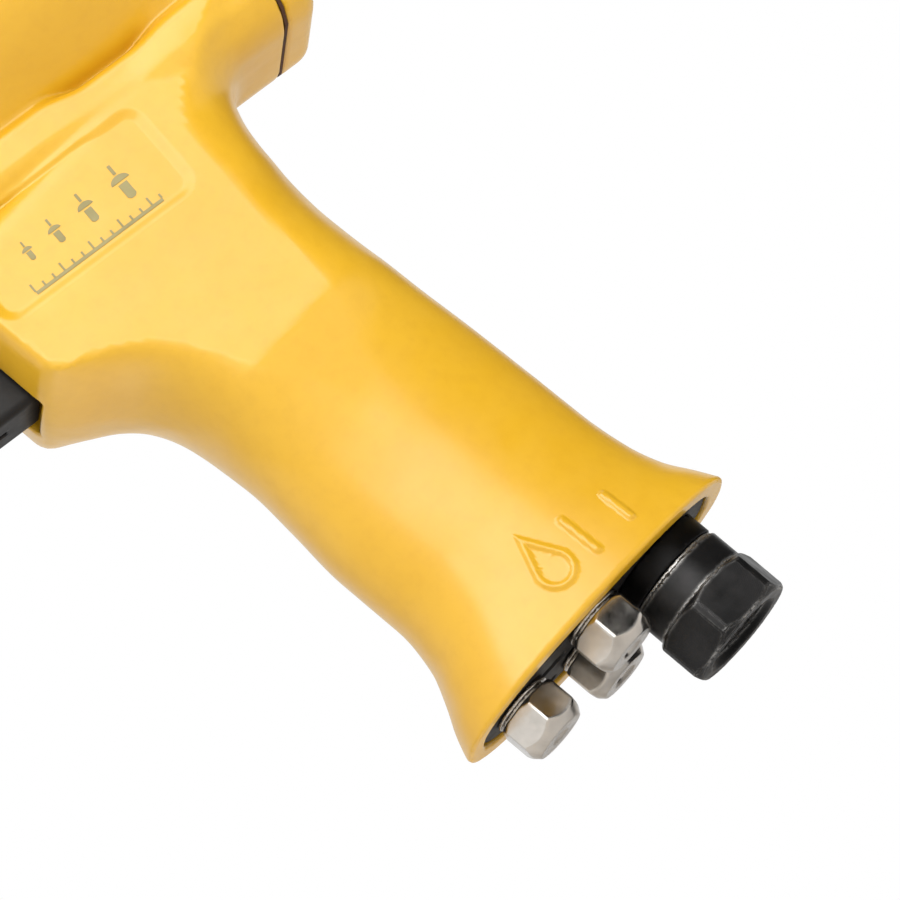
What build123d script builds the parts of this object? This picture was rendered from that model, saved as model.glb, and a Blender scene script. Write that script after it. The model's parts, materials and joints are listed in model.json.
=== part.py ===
from build123d import *
import math
import os

# Compressed-air blind-rivet gun with a tandem-piston barrel.
# Frame: origin at the centre of the fitted nosepiece's front face, on the barrel axis.
# +X runs along the barrel towards the rear cap, +Z up, millimetres.

# ---- driving dimensions -------------------------------------------------------------------------------------------
BARREL_R = 36.0            # outside of the barrel
BORE_R = 30.0              # bored inside of the barrel
X_SNOUT = 56.0             # front face of the casting
X_BORE = 83.0              # front wall of the bore
X_REAR = 205.4             # rear face of the casting
GASKET_T = 0.6
CAP_T = 6.6
BLOCK_BOTTOM = -42.6       # underside of the block below the barrel
BLOCK_HALF = 18.8          # half width of that block
STROKE = 16.0              # piston stroke
TRIGGER_TRAVEL = 5.0

RAKE = math.radians(9.3)   # grip rake
HX, HZ = 175.0, -8.2       # point where the grip's own axes start
FOOT_W = 141.2             # rim of the foot, measured down the grip
FOOT_A = 27.4              # half length of the opening in the foot
VALVE_Z = -55.7            # axis of the valve bore

ROD_R = 9.0
ROD_TAIL_R = 6.0
ROD_BORE_R = 3.2
LINER_R = 28.0
PISTON_R = 27.95
SPACER_R = 9.0
SLEEVE_BORE_R = 10.5
JAW_CASE_R = 10.42
CONE = math.tan(math.radians(15.0))

HEX_NOSE = 11.4            # nosepiece, across flats
HEX_INLET = 19.0           # air connector, across flats
INLET_U = -1.4             # inlet centre, measured rearward across the grip

CR, SR = math.cos(RAKE), math.sin(RAKE)


# ---- helpers ------------------------------------------------------------------------------------------------------
def grip_plane(w, u=0.0, v=0.0):
    """Plane across the grip, w mm down it: local x rearward, local y to -Y, normal down the grip."""
    return Plane(
        origin=(HX + SR * w + CR * u, -v, HZ - CR * w + SR * u),
        x_dir=(CR, 0, SR),
        z_dir=(SR, 0, -CR),
    )


def xplane(x, y=0.0, z=0.0):
    """Plane across the barrel: local x = +Y, local y = +Z, normal +X."""
    return Plane(origin=(x, y, z), x_dir=(0, 1, 0), z_dir=(1, 0, 0))


def xcyl(r, x0, x1, y=0.0, z=0.0):
    return extrude(xplane(x0, y, z) * Circle(r), x1 - x0)


def xtube(ro, ri, x0, x1, y=0.0, z=0.0):
    return xcyl(ro, x0, x1, y, z) - xcyl(ri, x0 - 1, x1 + 1, y, z)


def wcyl(r, w0, w1, u=0.0, v=0.0):
    return extrude(grip_plane(w0, u, v) * Circle(r), w1 - w0)


def xring(major, minor, x, y=0.0, z=0.0):
    return xplane(x, y, z) * Torus(major, minor)


def wring(major, minor, w, u=0.0, v=0.0):
    return grip_plane(w, u, v) * Torus(major, minor)


def turned(points):
    """Solid of revolution about the X axis from (x, r) points."""
    return revolve(Plane.XZ * make_face(Polyline(*points, close=True)), Axis.X)


def hexagon(across_flats, angle=0.0):
    return Rot(0, 0, angle) * RegularPolygon(across_flats / math.sqrt(3), 6)


def section(u_f, u_fs, u_rs, u_r, h, n, w):
    """Closed smooth section of the grip at w: rounded ends at front and rear, flat sides between."""
    k = 6
    e = 2.0 / n
    rear, front = [], []
    for i in range(-k, k + 1):
        t = math.pi / 2 * i / k
        c, s = math.cos(t), math.sin(t)
        c = 0.0 if abs(c) < 1e-9 else c
        rear.append((u_rs + (u_r - u_rs) * c ** e, h * math.copysign(abs(s) ** e, s)))
        front.append((u_fs + (u_f - u_fs) * c ** e, -h * math.copysign(abs(s) ** e, s)))
    edges = [
        Spline(*rear, tangents=((1, 0), (-1, 0))),
        Line(rear[-1], front[0]),
        Spline(*front, tangents=((-1, 0), (1, 0))),
        Line(front[-1], rear[0]),
    ]
    return grip_plane(w) * make_face(edges)


# ---- grip outline down its length ----------------------------------------------------------------------------------
# w, front, front curve start, rear curve start, rear, half thickness, roundness
GRIP = [
    (24.0, -50.4, -46.0, -4.0, 8.6, 19.2, 2.3),
    (40.0, -50.4, -46.0, -4.0, 8.2, 19.2, 2.3),
    (51.5, -50.4, -46.0, -4.0, 7.0, 19.2, 2.2),
    (53.6, -49.6, -43.5, -4.2, 6.7, 19.2, 2.1),
    (56.5, -47.2, -38.8, -4.6, 6.5, 19.2, 2.0),
    (60.0, -42.0, -33.5, -5.0, 6.3, 19.1, 2.0),
    (64.5, -38.0, -29.5, -5.6, 6.2, 19.0, 2.0),
    (70.0, -35.9, -26.5, -6.4, 6.4, 18.9, 2.05),
    (76.0, -35.3, -25.0, -7.4, 6.8, 18.6, 2.1),
    (84.0, -35.7, -19.0, -10.5, 7.3, 17.2, 2.2),
    (94.0, -37.0, -15.0, -13.5, 8.0, 16.4, 2.2),
    (106.0, -37.9, -15.0, -14.5, 8.5, 16.0, 2.2),
    (118.0, -37.9, -15.0, -14.5, 8.8, 16.0, 2.2),
    (126.0, -39.3, -15.2, -14.8, 9.6, 16.2, 2.25),
    (132.0, -42.2, -15.6, -15.2, 11.2, 16.6, 2.3),
    (137.0, -45.3, -16.0, -15.6, 13.7, 17.0, 2.35),
    (141.2, -47.4, -16.2, -15.8, 15.6, 17.3, 2.4),
]


def build_housing():
    barrel = turned([
        (X_SNOUT, 0), (X_SNOUT, 20.0), (58.0, 21.5), (70.0, 22.5), (74.0, 24.0), (86.0, 33.5), (92.0, 36.0),
        (X_REAR, 36.0), (X_REAR, 0),
    ])
    block = extrude(xplane(94) * block_outline(), X_REAR - 94)
    block -= Pos(94, 0, BLOCK_BOTTOM) * Rot(0, 45, 0) * Box(14, 60, 14)
    body = barrel + block
    # ears for the upper cap screws
    for y, z in EARS:
        body += xcyl(EAR_R, 182, X_REAR, y, z)
        body += extrude(xplane(182, y, z) * Circle(EAR_R), -22, taper=14)
    # grip
    body += loft([section(*row[1:], row[0]) for row in GRIP], ruled=True)
    # concave neck between the overhang and the back of the grip
    neck = Plane.XZ.offset(11.5) * make_face(
        Line((HX + 2, -40.0), (HX + 24.0, -40.0))
        + Line((HX + 24.0, -40.0), (HX + 24.0, BLOCK_BOTTOM))
        + ThreePointArc((HX + 24.0, BLOCK_BOTTOM), (HX + 17.2, BLOCK_BOTTOM - 3.4), (HX + 15.2, BLOCK_BOTTOM - 10.0))
        + Line((HX + 15.2, BLOCK_BOTTOM - 10.0), (HX + 2, BLOCK_BOTTOM - 10.0))
        + Line((HX + 2, BLOCK_BOTTOM - 10.0), (HX + 2, -40.0))
    )
    body += extrude(neck, -23.0)
    # bores
    body -= xcyl(BORE_R, X_BORE, X_REAR + 1)
    body -= xcyl(15.0, X_SNOUT - 1, 76.0)
    body -= xcyl(ROD_R + 0.1, 75, 84)
    body -= xcyl(11.65, 78.2, 81.0)
    for y, z in SCREWS:
        body -= xcyl(2.0, 188.0, X_REAR + 1, y, z)
    # air gallery under the bore, and its three ports
    body -= xcyl(2.5, 84.0, X_REAR + 1, 0, GALLERY_Z)
    for x in PORTS:
        body -= Pos(x, 0, (GALLERY_Z - 28.0) / 2) * Cylinder(1.5, -GALLERY_Z - 28.0 + 2)
    # valve bore, trigger pocket
    body -= xcyl(8.0, X_POCKET - 2, X_SLEEVE1, 0, VALVE_Z)
    body -= xcyl(6.5, X_SLEEVE1 - 1, X_CHAMBER, 0, VALVE_Z)
    body -= Pos((110 + X_POCKET) / 2, 0, (POCKET_TOP + POCKET_BOTTOM) / 2) * Box(
        X_POCKET - 110, 2 * POCKET_HALF, POCKET_TOP - POCKET_BOTTOM)
    body -= Pos(X_PORT_A, 0, (VALVE_Z + GALLERY_Z) / 2) * Cylinder(2.5, GALLERY_Z - VALVE_Z)
    # supply and exhaust passages down the grip
    body -= wcyl(4.5, 44.0, 120.0, INLET_U)
    body -= wcyl(3.5, 46.0, 128.0, -26.5)
    # inlet bore and foot pocket
    body -= wcyl(8.0, 112.0, W_SEAT + 0.5, INLET_U)
    body -= extrude(grip_plane(W_SEAT) * foot_outline(0.0), 12)
    body -= extrude(grip_plane(W_PAD) * pad_outline(0.0), W_SEAT - W_PAD + 0.5)
    for u, v in SPARES:
            body -= wcyl(4.3, 131.4, W_SEAT + 1, u, v)
    return body


def block_outline(grow=0.0):
    """Section of the block below the barrel, its lower corners cut in two facets."""
    h, b, g = BLOCK_HALF + grow, BLOCK_BOTTOM - grow, 0.4 * grow
    half = [(h, 0.0), (h, -37.2 - g), (15.6 + g, -41.0 - g), (11.0 + g, b)]
    return make_face(Polyline(*half, *[(-y, z) for y, z in reversed(half)], close=True))


def foot_outline(gap):
    """Opening of the foot, an elongated oval."""
    a, b, n = FOOT_A - gap, 12.4 - gap, 2.4
    pts = []
    for i in range(56):
        t = 2 * math.pi * i / 56
        c, s = math.cos(t), math.sin(t)
        pts.append((-15.75 + a * math.copysign(abs(c) ** (2 / n), c), b * math.copysign(abs(s) ** (2 / n), s)))
    return make_face(Polyline(*pts, close=True))


def pad_outline(gap):
    """Front part of the foot cavity that holds the silencer pad."""
    return Pos(-24.5, 0) * RectangleRounded(26.0 - 2 * gap, 19.0 - 2 * gap, 6.0 - gap)


def cap_outline(grow=0.0):
    shape = Circle(BARREL_R + grow)
    shape += block_outline(grow)
    for y, z in EARS:
        shape += Pos(y, z) * Circle(EAR_R + grow)
    return shape


def nosepiece(hole_r):
    """Nosepiece along +Z: front face at z = 0, hex head, collar, thread, tail cone. Hex corners on local X."""
    af = HEX_NOSE
    prof = make_face(Polyline(
        (0, 0), (4.75, 0), (6.6, 2.35), (6.6, 6.7), (5.9, 7.4), (0, 7.4), close=True))
    head = revolve(Plane.XZ * prof, Axis.Z)
    head &= extrude(hexagon(af), 7.4)
    neck = Pos(0, 0, 7.4) * Cylinder(4.6, 0.9, align=(Align.CENTER, Align.CENTER, Align.MIN))
    collar = Pos(0, 0, 7.9) * Cylinder(5.6, 0.6, align=(Align.CENTER, Align.CENTER, Align.MIN))
    thread = Pos(0, 0, 7.4) * Cylinder(3.95, 6.6, align=(Align.CENTER, Align.CENTER, Align.MIN))
    tail = Pos(0, 0, 14.0) * Cone(3.6, 2.9, 3.5, align=(Align.CENTER, Align.CENTER, Align.MIN))
    return (head + neck + collar + thread + tail) - Cylinder(hole_r, 60)


def coil(radius, wire, x0, x1, turns, y=0.0, z=0.0):
    """Spring along X between x0 and x1, wire centre inset by the wire radius."""
    length = x1 - x0 - 2 * wire
    path = Helix(pitch=length / turns, height=length, radius=radius)
    prof = Plane(origin=path @ 0, z_dir=path % 0) * Circle(wire)
    body = sweep(prof, path=path)
    return Plane(origin=(x0 + wire, y, z), x_dir=(0, 1, 0), z_dir=(1, 0, 0)) * body


# ---- positions that several pieces share ---------------------------------------------------------------------------
SPARES = [(-34.2, 0.0), (-17.5, -6.8), (-17.5, 6.8)]    # stored nosepieces: u, v
EAR_R = 6.5
EARS = [(26.6, 26.6), (-26.6, 26.6)]
SCREWS = [(11.0, -37.6), (-11.0, -37.6), (26.6, 26.6), (-26.6, 26.6)]
GALLERY_Z = -36.6
PORTS = [84.9, 119.6, 154.6]
X_POCKET = 141.0           # back wall of the trigger pocket
POCKET_TOP, POCKET_BOTTOM, POCKET_HALF = -44.6, -67.6, 7.4
X_SLEEVE0, X_SLEEVE1, X_CHAMBER = 143.5, 174.5, 184.6
X_PORT_A, X_PORT_R = 164.5, 155.0
W_SEAT = 136.7             # seat of the base plate
PLATE_T = 4.0
W_PAD = 126.0              # bottom of the silencer pocket
X_CAP0 = X_REAR + GASKET_T
X_CAP1 = X_CAP0 + CAP_T

parts = {}

# ---- casting and rear cap ------------------------------------------------------------------------------------------
parts["main_housing"] = build_housing()

gasket = extrude(xplane(X_REAR) * (cap_outline(-0.15) - Circle(LINER_R)), GASKET_T)
for y, z in SCREWS:
    gasket -= xcyl(2.2, X_REAR - 1, X_CAP0 + 1, y, z)
parts["rear_cap_gasket"] = gasket

cap = extrude(xplane(X_CAP0) * cap_outline(), CAP_T)
cap = fillet(cap.faces().sort_by(Axis.X)[-1].edges(), 2.4)
cap += xcyl(17.0, X_CAP0, X_CAP1 + 3.0)
cap += xcyl(13.0, X_CAP1 + 2.0, X_CAP1 + 11.0)
cap -= xcyl(8.5, X_CAP0 - 1, X_CAP1 + 20)
for y, z in SCREWS:
    cap -= xcyl(2.2, X_CAP0 - 1, X_CAP1 + 1, y, z)
    cap -= xcyl(3.7, X_CAP1 - 4.2, X_CAP1 + 1, y, z)
parts["rear_cap"] = cap

screws = []
for y, z in SCREWS:
    s = xcyl(2.0, 190.0, X_CAP1 - 4.2, y, z) + xcyl(3.5, X_CAP1 - 4.2, X_CAP1 - 0.2, y, z)
    s -= extrude(xplane(X_CAP1 - 2.4, y, z) * hexagon(3.0), 3)
    screws.append(s)
parts["rear_cap_screws"] = Compound(children=screws)

# rear bush guiding the tail of the pull rod
parts["rear_bush"] = xtube(8.5, ROD_TAIL_R + 0.05, X_CAP0, X_CAP1 + 11.0)

# bottle that catches the spent mandrels, screwed on the cap's neck
XB = X_CAP1 + 3.0
bottle = turned([
    (XB, 13.05), (XB, 17.5), (XB + 1.5, 19.0), (XB + 9.0, 19.0), (XB + 11.0, 21.0), (XB + 34.0, 21.0),
    (XB + 38.0, 19.5), (XB + 40.0, 16.5), (XB + 40.0, 0), (XB + 38.0, 0), (XB + 38.0, 16.0), (XB + 36.4, 18.2),
    (XB + 33.6, 19.2), (XB + 11.6, 19.2), (XB + 9.8, 17.2), (XB + 9.0, 13.05),
])
for i in range(20):
    a = 2 * math.pi * i / 20
    bottle -= xcyl(0.9, XB + 2.2, XB + 8.6, 19.4 * math.cos(a), 19.4 * math.sin(a))
parts["mandrel_collector"] = bottle

# ---- cylinder stack ------------------------------------------------------------------------------------------------
liners = [(83.0, 112.0), (118.0, 147.0), (153.0, X_REAR)]
for i, (x0, x1) in enumerate(liners):
    ln = xtube(BORE_R, LINER_R, x0, x1)
    ln -= Pos(PORTS[i], 0, -29) * Cylinder(1.5, 6)
    parts["cylinder_liner_%d" % (i + 1)] = ln
seals = []
for i, x0 in enumerate((112.0, 147.0)):
    d = xtube(BORE_R, SPACER_R + 0.1, x0, x0 + 6.0)
    d -= xcyl(11.65, x0 + 1.7, x0 + 4.3)
    parts["divider_plate_%d" % (i + 1)] = d
    seals.append(xring(SPACER_R + 0.05 + 1.28, 1.28, x0 + 3.0))
parts["divider_seals"] = Compound(children=seals)
parts["rod_seal"] = xring(ROD_R + 0.05 + 1.28, 1.28, 79.6)

# ---- pull rod, pistons ---------------------------------------------------------------------------------------------
rod = xcyl(ROD_R, 58.0, 85.0) + xcyl(8.4, 50.0, 58.0) + xcyl(ROD_TAIL_R, 84.0, 216.0)
rod -= xcyl(ROD_BORE_R, 49, 217)
for x in (97.5, 132.5):
    rod -= Pos(x, 0, 0) * Cylinder(1.2, 40)
parts["pull_rod"] = rod

piston_x = (85.0, 120.0, 155.0)
pseals = []
for i, x0 in enumerate(piston_x):
    p = turned([
        (x0, ROD_TAIL_R), (x0, 26.5), (x0 + 1.0, PISTON_R), (x0 + 3.2, PISTON_R), (x0 + 3.2, 25.6),
        (x0 + 6.8, 25.6), (x0 + 6.8, PISTON_R), (x0 + 9.0, PISTON_R), (x0 + 10.0, 26.5), (x0 + 10.0, 22.0),
        (x0 + 7.5, 20.0), (x0 + 7.5, 13.0), (x0 + 10.0, 12.0), (x0 + 10.0, ROD_TAIL_R),
    ])
    parts["piston_%d" % (i + 1)] = p
    pseals.append(turned([(x0 + 3.3, 25.65), (x0 + 3.3, 27.96), (x0 + 6.7, 27.96), (x0 + 6.7, 25.65)]))
parts["piston_seals"] = Compound(children=pseals)
vent = Cylinder(1.2, 40)
parts["rod_spacers"] = Compound(children=[
    xtube(SPACER_R, ROD_TAIL_R, 95.0, 120.0) - Pos(97.5, 0, 0) * vent,
    xtube(SPACER_R, ROD_TAIL_R, 130.0, 155.0) - Pos(132.5, 0, 0) * vent,
])
nut = extrude(xplane(165.0) * hexagon(19.0), 7.0) & turned([
    (165.0, 0), (165.0, 11.0), (171.0, 11.0), (172.0, 9.6), (172.0, 0)])
parts["piston_nut"] = nut - xcyl(ROD_TAIL_R, 160, 175)
parts["return_spring"] = coil(17.0, 1.6, 165.0, X_CAP0, 6)

# ---- nose ----------------------------------------------------------------------------------------------------------
sleeve = turned([
    (8.5, 4.0), (8.5, 8.6), (9.6, 10.2), (20.0, 12.4), (44.0, 13.0), (47.5, 13.0), (47.5, 15.0), (76.0, 15.0),
    (76.0, SLEEVE_BORE_R), (16.5, SLEEVE_BORE_R), (14.5, 8.5), (14.5, 4.0),
])
for s in (1, -1):   # spanner flats
    sleeve -= Pos(32, s * 16.5, 0) * Box(10, 10, 40)
parts["nose_sleeve"] = sleeve
lock = turned([(48.0, 15.0), (48.0, 19.0), (49.5, 20.5), (54.5, 20.5), (56.0, 19.0), (56.0, 15.0)])
lock &= extrude(xplane(47.0) * hexagon(36.0), 10)
parts["nose_locknut"] = lock
to_x = Plane(origin=(0, 0, 0), x_dir=(0, 0, 1), z_dir=(1, 0, 0))
parts["fitted_nosepiece"] = to_x * nosepiece(1.6)

case = turned([
    (17.6, 4.2), (17.6, 8.6), (19.6, JAW_CASE_R), (56.0, JAW_CASE_R), (58.0, 10.0), (58.0, 8.4), (33.0, 8.4),
    (33.0, 4.75 + 14.0 * CONE), (19.0, 4.75), (18.4, 4.2),
])
parts["jaw_case"] = case

# three jaws: thirds of a cone, shaped where they grip and then moved back to rest, outward along the case's cone
jaw_cone = turned([
    (17.6, 0.9), (17.6, 3.85), (18.3, 4.05), (19.1, 4.64), (31.35, 4.64 + 12.25 * CONE), (31.35, 5.9), (29.9, 2.6),
    (28.4, 1.5), (28.4, 0.9),
])
for i in range(3):
    a = 120.0 * i
    half = math.radians(60.0)
    apex = 0.12
    pts = [(0.0, apex), (14 * math.sin(-half), apex + 14 * math.cos(half)), (0.0, 20.0),
           (14 * math.sin(half), apex + 14 * math.cos(half))]
    sector = extrude(xplane(17.0) * make_face(Polyline(*pts, close=True)), 16)
    parts["jaw_%d" % (i + 1)] = Rot(a, 0, 0) * Pos(1.6 * math.cos(math.radians(15)), 0, 1.6 * math.sin(math.radians(15))) * (
        jaw_cone & sector)

parts["jaw_pusher"] = turned([
    (33.0, 2.0), (33.0, 6.2), (34.2, 7.9), (36.0, 7.9), (36.0, 4.4), (42.0, 4.4), (42.0, 2.0)])
parts["jaw_spring"] = coil(5.6, 0.7, 36.0, 50.0, 6)

# ---- trigger and valve ---------------------------------------------------------------------------------------------
TZ0, TZ1 = -66.2, -45.4
tp = make_face(
    Line((135.6, TZ0), (135.6, TZ1)) + Line((135.6, TZ1), (118.6, TZ1))
    + ThreePointArc((118.6, TZ1), (119.8, (TZ0 + TZ1) / 2), (116.4, TZ0))
    + Line((116.4, TZ0), (135.6, TZ0))
)
trigger = extrude(Plane.XZ.offset(-6.5) * tp, 13.0)
trigger = fillet(trigger.edges().filter_by(lambda e: e.center().X < 121 and abs(abs(e.center().Y) - 6.5) < 0.1), 1.6)
trigger -= Pos(124.0, 0, TZ0) * Box(9.0, 1.5, 2.4)
trigger -= xcyl(2.5, 124.0, 136.0, 0, VALVE_Z)
trigger -= Pos(128.0, 0, VALVE_Z) * Rot(90, 0, 0) * Cylinder(1.0, 20)
parts["trigger"] = trigger
parts["trigger_pin"] = Pos(128.0, 0, VALVE_Z) * Rot(90, 0, 0) * Cylinder(1.0, 12.4)

stem = (
    xcyl(2.5, 124.0, 145.6, 0, VALVE_Z) + xcyl(4.45, 145.5, 152.5, 0, VALVE_Z) + xcyl(2.0, 152.4, 169.6, 0, VALVE_Z)
    + xcyl(4.45, 169.5, 173.5, 0, VALVE_Z) + xcyl(2.0, 173.4, 176.5, 0, VALVE_Z)
)
stem -= xtube(6, 3.35, 148.0, 150.0, 0, VALVE_Z)
stem -= Pos(128.0, 0, VALVE_Z) * Rot(90, 0, 0) * Cylinder(1.0, 20)
parts["valve_stem"] = stem
parts["stem_seal"] = xtube(4.46, 3.4, 148.05, 149.95, 0, VALVE_Z)
parts["valve_guide"] = xtube(8.0, 2.55, X_POCKET, X_SLEEVE0, 0, VALVE_Z)
vs = xtube(8.0, 4.5, X_SLEEVE0, X_SLEEVE1, 0, VALVE_Z)
vs -= Pos(X_PORT_A, 0, VALVE_Z + 6) * Cylinder(2.0, 12)
vs -= Pos(X_PORT_R, 0, VALVE_Z - 6) * Cylinder(2.0, 12)
parts["valve_sleeve"] = vs
parts["valve_spring"] = coil(3.2, 0.45, 173.5, X_CHAMBER, 6, 0, VALVE_Z)

# ---- foot: plate, spare nosepieces, silencer -----------------------------------------------------------------------
plate = extrude(grip_plane(W_SEAT) * foot_outline(0.15), PLATE_T)
plate -= wcyl(8.0, W_SEAT - 1, W_SEAT + 20, INLET_U)
for u, v in SPARES:
    plate -= wcyl(4.0, W_SEAT - 1, W_SEAT + 20, u, v)
for v in (-9.0, 9.0):
    plate -= extrude(grip_plane(W_SEAT - 1, -26.6, v) * SlotOverall(5.0, 1.6), 20)
plate -= extrude(grip_plane(W_SEAT - 1, -26.0, 0) * SlotOverall(6.0, 2.4), 20)
parts["base_plate"] = plate

TIP_W = 149.4
for i, ((u, v), r, ang) in enumerate(zip(SPARES, (1.2, 1.9, 1.4), (40.0, 50.0, 50.0))):
    pl = Plane(origin=grip_plane(TIP_W, u, v).origin, x_dir=(CR, 0, SR), z_dir=(-SR, 0, CR))
    parts["spare_nosepiece_%d" % (i + 1)] = pl * Rot(0, 0, -ang) * nosepiece(r)

pad = extrude(grip_plane(W_PAD + 0.2) * pad_outline(0.15), W_SEAT - W_PAD - 0.2)
for u, v in SPARES:
    pad -= wcyl(4.3, 130.5, W_SEAT + 1, u, v)
parts["silencer_pad"] = pad

# ---- air inlet -----------------------------------------------------------------------------------------------------
bush = wcyl(8.0, 116.0, W_SEAT + PLATE_T + 0.1, INLET_U) + wcyl(9.2, W_SEAT + PLATE_T, 145.0, INLET_U)
bush -= wcyl(6.05, 115.0, 150.0, INLET_U)
bush -= wcyl(7.35, 135.0, 137.2, INLET_U)
parts["inlet_bushing"] = bush

W_HEX0, W_HEX1 = 151.2, 159.9
tail = wcyl(6.0, 113.2, 146.0, INLET_U)
swivel = tail + wcyl(9.0, 145.05, 145.8, INLET_U) + wcyl(9.45, 145.7, W_HEX0 + 0.1, INLET_U)
hx = extrude(grip_plane(W_HEX0, INLET_U) * hexagon(HEX_INLET, 115.5), W_HEX1 - W_HEX0)
hx &= grip_plane(W_HEX0, INLET_U) * revolve(Plane.XZ * make_face(Polyline(
    (0, 0), (9.6, 0), (10.97, 1.0), (10.97, 7.8), (9.9, 8.7), (0, 8.7), close=True)), Axis.Z)
swivel += hx
swivel -= wcyl(3.6, 112.0, 165.0, INLET_U)
swivel -= wcyl(5.9, 147.9, 165.0, INLET_U)
swivel -= grip_plane(W_HEX1 - 1.8, INLET_U) * Cone(5.9, 7.71, 1.81, align=(Align.CENTER, Align.CENTER, Align.MIN))
swivel -= wcyl(8, 113.9, 115.1, INLET_U) - wcyl(5.2, 113.0, 116.0, INLET_U)
parts["inlet_connector"] = swivel
parts["inlet_retaining_ring"] = wcyl(7.2, 114.0, 115.0, INLET_U) - wcyl(5.2, 113.0, 116.0, INLET_U)
parts["inlet_seal"] = wring(6.05 + 0.63, 0.62, 136.1, INLET_U)
flt = wcyl(7.9, 112.0, 112.8, INLET_U)
for k in range(-3, 4):
    for m in range(-3, 4):
        if math.hypot(k, m) * 1.35 < 4.0:
            flt -= wcyl(0.45, 111, 114, INLET_U + k * 1.35, m * 1.35)
parts["inlet_filter"] = flt

# ---- write ---------------------------------------------------------------------------------------------------------
os.makedirs("parts", exist_ok=True)
for name, shape in parts.items():
    export_step(shape, "parts/%s.step" % name)
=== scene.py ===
import json
import math

import bpy
import numpy as np
from mathutils import Matrix, Vector


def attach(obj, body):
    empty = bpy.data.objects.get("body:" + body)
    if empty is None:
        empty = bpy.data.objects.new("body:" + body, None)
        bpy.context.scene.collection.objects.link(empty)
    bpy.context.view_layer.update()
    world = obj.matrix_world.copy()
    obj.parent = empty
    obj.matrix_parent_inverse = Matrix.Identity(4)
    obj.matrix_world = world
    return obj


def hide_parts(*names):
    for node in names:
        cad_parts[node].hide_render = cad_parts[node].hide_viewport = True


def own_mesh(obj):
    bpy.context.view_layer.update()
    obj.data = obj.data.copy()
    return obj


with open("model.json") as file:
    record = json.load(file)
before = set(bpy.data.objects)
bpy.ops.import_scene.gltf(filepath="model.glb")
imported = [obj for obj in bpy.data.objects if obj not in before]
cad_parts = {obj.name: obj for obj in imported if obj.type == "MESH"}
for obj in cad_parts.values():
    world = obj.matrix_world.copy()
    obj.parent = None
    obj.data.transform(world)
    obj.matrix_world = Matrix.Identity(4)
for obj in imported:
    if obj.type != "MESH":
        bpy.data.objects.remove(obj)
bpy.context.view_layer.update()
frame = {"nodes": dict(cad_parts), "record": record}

# ====================================================================================================================
# Shapes are signed-distance functions in millimetres, in the row frame, turned into closed meshes by a surface net
# whose points are then moved onto the exact surface.
# ====================================================================================================================
RAKE = math.radians(9.3)
CR, SR = math.cos(RAKE), math.sin(RAKE)
HX, HZ = 175.0, -8.2


def uvw(x, y, z):
    X, Z = x - HX, z - HZ
    return CR * X + SR * Z, -y, SR * X - CR * Z


def from_uvw(u, v, w):
    return np.stack([HX + CR * u + SR * w, -v + 0 * u, HZ + SR * u - CR * w], -1)


def smin(a, b, k):
    h = np.clip(0.5 + 0.5 * (b - a) / k, 0, 1)
    return b + (a - b) * h - k * h * (1 - h)


def smax(a, b, k):
    return -smin(-a, -b, k)


def sstep(e0, e1, t):
    q = np.clip((t - e0) / (e1 - e0), 0, 1)
    return q * q * (3 - 2 * q)


def rbox2(a, b, ha, hb, r):
    qa, qb = np.abs(a) - ha + r, np.abs(b) - hb + r
    return np.sqrt(np.maximum(qa, 0) ** 2 + np.maximum(qb, 0) ** 2) + np.minimum(np.maximum(qa, qb), 0) - r


def hexd(a, b, af, turn=0.0):
    """Distance to a regular hexagon; at turn 0 a corner is on the a axis."""
    d = None
    for i in range(3):
        t = turn + math.radians(30 + 60 * i)
        e = np.abs(a * math.cos(t) + b * math.sin(t)) - af / 2
        d = e if d is None else np.maximum(d, e)
    return d


def hexr(a, b, af, k, turn=0.0):
    d = None
    for i in range(3):
        t = turn + math.radians(30 + 60 * i)
        e = np.abs(a * math.cos(t) + b * math.sin(t)) - af / 2
        d = e if d is None else smax(d, e, k)
    return d


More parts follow.
